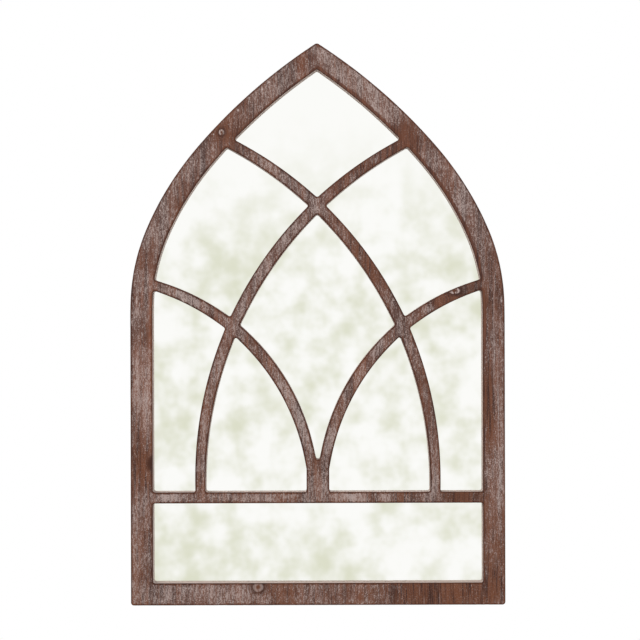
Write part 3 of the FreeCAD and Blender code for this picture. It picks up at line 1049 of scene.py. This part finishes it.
def ring_mesh(name, side):
    """The D ring as one closed tube of round wire."""
    shape = bpy.context.scene.mirror_shape
    sides = shape.wire_sides
    low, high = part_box("hanger_ring_" + side)
    hinge = next(j for j in frame["joints"] if j["child"] == "ring_" + side)
    axis = Vector(hinge["pos_m"])
    wire = (high.z - axis.z) * math.cos(math.pi / 8)
    half = (high.x - low.x) / 2 - wire
    bend = in_mm(shape.ring_corner) * MM
    leg = in_mm(shape.ring_leg) * MM
    path = []
    for angle in np.radians(np.linspace(90, 0, 9)):
        path.append((half - bend + bend * math.cos(angle), -bend + bend * math.sin(angle)))
    for angle in np.radians(np.linspace(0, -90, 17)):
        path.append((half * math.cos(angle), -bend - leg + half * math.sin(angle)))
    path += [(-x, z) for x, z in reversed(path[:-1])]
    straight = half - bend
    path += [(x, 0.0) for x in np.linspace(-straight, straight, 12)[1:-1]]
    reach = bend + leg + half
    tilt = math.asin((high.y - axis.y - wire) / reach)
    turn = Matrix.Rotation(tilt, 4, "X")
    points = []
    faces = []
    count = len(path)
    for index in range(count):
        x, z = path[index]
        before, after = path[index - 1], path[(index + 1) % count]
        along = Vector((after[0] - before[0], 0.0, after[1] - before[1])).normalized()
        across = Vector((along.z, 0.0, -along.x))
        for step in range(sides):
            angle = 2 * math.pi * step / sides
            offset = across * math.cos(angle) + Vector((0, 1, 0)) * math.sin(angle)
            point = Vector((x, 0.0, z)) + offset * wire
            points.append(axis + turn @ point)
            nxt = (index + 1) % count * sides
            around = (step + 1) % sides
            faces.append((index * sides + step, index * sides + around, nxt + around, nxt + step))
    mesh = bpy.data.meshes.new(name)
    mesh.from_pydata(points, [], faces)
    finish_mesh(mesh)
    return mesh


class MIRROR_OT_bumpers(bpy.types.Operator):
    """The felt discs at the foot"""

    bl_idname = "arched_mirror.bumpers"
    bl_label = "Wall bumpers"

    def execute(self, context):
        felt = soft_fibre("felt", srgb(52, 47, 44), srgb(92, 85, 80), 1100.0)
        mesh = softened_copy("wall_bumpers", 0.7, 3)
        place_piece("felt_discs", mesh, felt, "felt", "frame", "wall_bumpers")
        return {"FINISHED"}


# ---- stage ----

def add_lamp(name, place, target, size, power, colour=(1.0, 1.0, 1.0)):
    """A square soft lamp that points at a target."""
    data = bpy.data.lights.new(name, "AREA")
    data.shape = "SQUARE"
    data.size = size
    data.energy = power
    data.color = colour
    lamp = bpy.data.objects.new(name, data)
    lamp.location = place
    lamp.rotation_euler = (Vector(target) - Vector(place)).to_track_quat("-Z", "Y").to_euler()
    bpy.context.scene.collection.objects.link(lamp)


def surround_and_painted_reflection(strength):
    """White all round for the eye; for glossy rays only, a painted reflection: a pale, out-of-focus
    green-grey mottling that only the mirror shows.
    """
    world = bpy.data.worlds.new("surround")
    bpy.context.scene.world = world
    tree = Tree(world)
    direction = tree.node("ShaderNodeTexCoord", output="Generated")
    # Painted reflection: soft pale green-grey blotches towards -Y, from the horizon down, that are
    # shown only in the mirror.
    small = tree.noise(direction, (60.0, 60.0, 60.0), 2.0, 0.5)
    large = tree.noise(direction, (14.0, 14.0, 14.0), 2.0, 0.5)
    _, ahead, up = tree.axes(direction)
    below = tree.step(ahead, -0.2, -0.7) * tree.step(up, 0.16, 0.02)
    painted_reflection_mottle = tree.step(small * 0.55 + large * 0.45, 0.38, 0.68) * below
    painted_reflection = tree.mix(painted_reflection_mottle * 0.75, rgba((1.0, 1.0, 1.0)), rgba(srgb(212, 215, 188)))
    # Camera rays see plain white. Glossy and transmission rays see the surround at full strength
    # with the painted reflection, brighter than the light it gives to other surfaces.
    rays = [tree.node("ShaderNodeLightPath", output=kind)
            for kind in ("Is Camera Ray", "Is Glossy Ray", "Is Transmission Ray")]
    seen = tree.math("MAXIMUM", tree.math("MAXIMUM", rays[0], rays[1]), rays[2])
    colour = tree.mix(rays[1], rgba((1.0, 1.0, 1.0)), painted_reflection)
    power = strength + seen * (1.0 - strength)
    back = tree.node("ShaderNodeBackground", None, {"Color": colour, "Strength": power})
    tree.node("ShaderNodeOutputWorld", None, {"Surface": back})


class MIRROR_OT_stage(bpy.types.Operator):
    """The pale floor, the soft lamps and the camera"""

    bl_idname = "arched_mirror.stage"
    bl_label = "Stage"

    def execute(self, context):
        scene = context.scene
        stage = scene.mirror_stage
        scene.view_settings.view_transform = "Standard"

        # The photograph's middle pixel, and the height of its view at the front of the frame.
        photo_size = 640
        scale = photo_mm_per_pixel * MM
        middle = photo_size / 2
        camera_x = (middle - photo_middle_x) * scale
        camera_z = foot_z + (photo_foot_y - middle) * scale
        data = bpy.data.cameras.new("camera")
        data.sensor_width = 36.0
        data.lens = data.sensor_width * stage.camera_distance / (photo_size * scale)
        camera = bpy.data.objects.new("camera", data)
        camera.location = (camera_x, face_low.y - stage.camera_distance, camera_z)
        camera.rotation_euler = (math.radians(90), math.radians(photo_roll), 0.0)
        scene.collection.objects.link(camera)
        scene.camera = camera

        half = stage.floor_size / 2
        floor_z = foot_z - stage.floor_drop
        mesh = bpy.data.meshes.new("floor")
        corners = [(-half, -half, floor_z), (half, -half, floor_z),
                   (half, half, floor_z), (-half, half, floor_z)]
        mesh.from_pydata(corners, [], [(0, 1, 2, 3)])
        floor = bpy.data.objects.new("floor", mesh)
        scene.collection.objects.link(floor)
        material, tree = new_material("floor")
        tree.surface({"Base Color": rgba(srgb(240, 240, 240)), "Roughness": 0.9})
        mesh.materials.append(material)

        middle_place = (0.0, face_low.y, (foot_z + tip_z) / 2)
        add_lamp("key", (-1.7, -2.1, 1.7), middle_place, 1.3, stage.key_power, (1.0, 0.99, 0.97))
        add_lamp("fill", (2.0, -2.3, 0.2), middle_place, 1.8, stage.fill_power, (0.98, 0.99, 1.0))
        add_lamp("back", (0.7, 2.2, 1.1), middle_place, 1.6, stage.back_power)
        surround_and_painted_reflection(stage.surround)
        return {"FINISHED"}


class MIRROR_PT_pieces(bpy.types.Panel):
    """Buttons for the pieces and the stage"""

    bl_idname = "MIRROR_PT_pieces"
    bl_label = "Arched mirror"
    bl_space_type = "VIEW_3D"
    bl_region_type = "UI"
    bl_category = "Arched mirror"

    def draw(self, context):
        for operator in operators:
            self.layout.operator(operator.bl_idname)
        for name in settings:
            box = self.layout.box()
            group = getattr(context.scene, name)
            for key in group.__annotations__:
                box.prop(group, key)


settings = {
    "mirror_finish": FinishSettings,
    "mirror_shape": ShapeSettings,
    "mirror_stage": StageSettings,
}
operators = (
    MIRROR_OT_face_board,
    MIRROR_OT_rear_strips,
    MIRROR_OT_mirror_glass,
    MIRROR_OT_backing,
    MIRROR_OT_staples,
    MIRROR_OT_hangers,
    MIRROR_OT_bumpers,
    MIRROR_OT_stage,
)


def register():
    """Make the settings, the operators and the panel known."""
    for group in (*settings.values(), *operators, MIRROR_PT_pieces):
        bpy.utils.register_class(group)
    for name, group in settings.items():
        setattr(bpy.types.Scene, name, PointerProperty(type=group))


def unregister():
    """Take them away again."""
    for name in settings:
        delattr(bpy.types.Scene, name)
    for group in (MIRROR_PT_pieces, *reversed(operators), *reversed(settings.values())):
        bpy.utils.unregister_class(group)


def main():
    """Build every piece and the stage."""
    register()
    for operator in operators:
        group, name = operator.bl_idname.split(".")
        getattr(getattr(bpy.ops, group), name)()


if __name__ == "__main__":
    main()
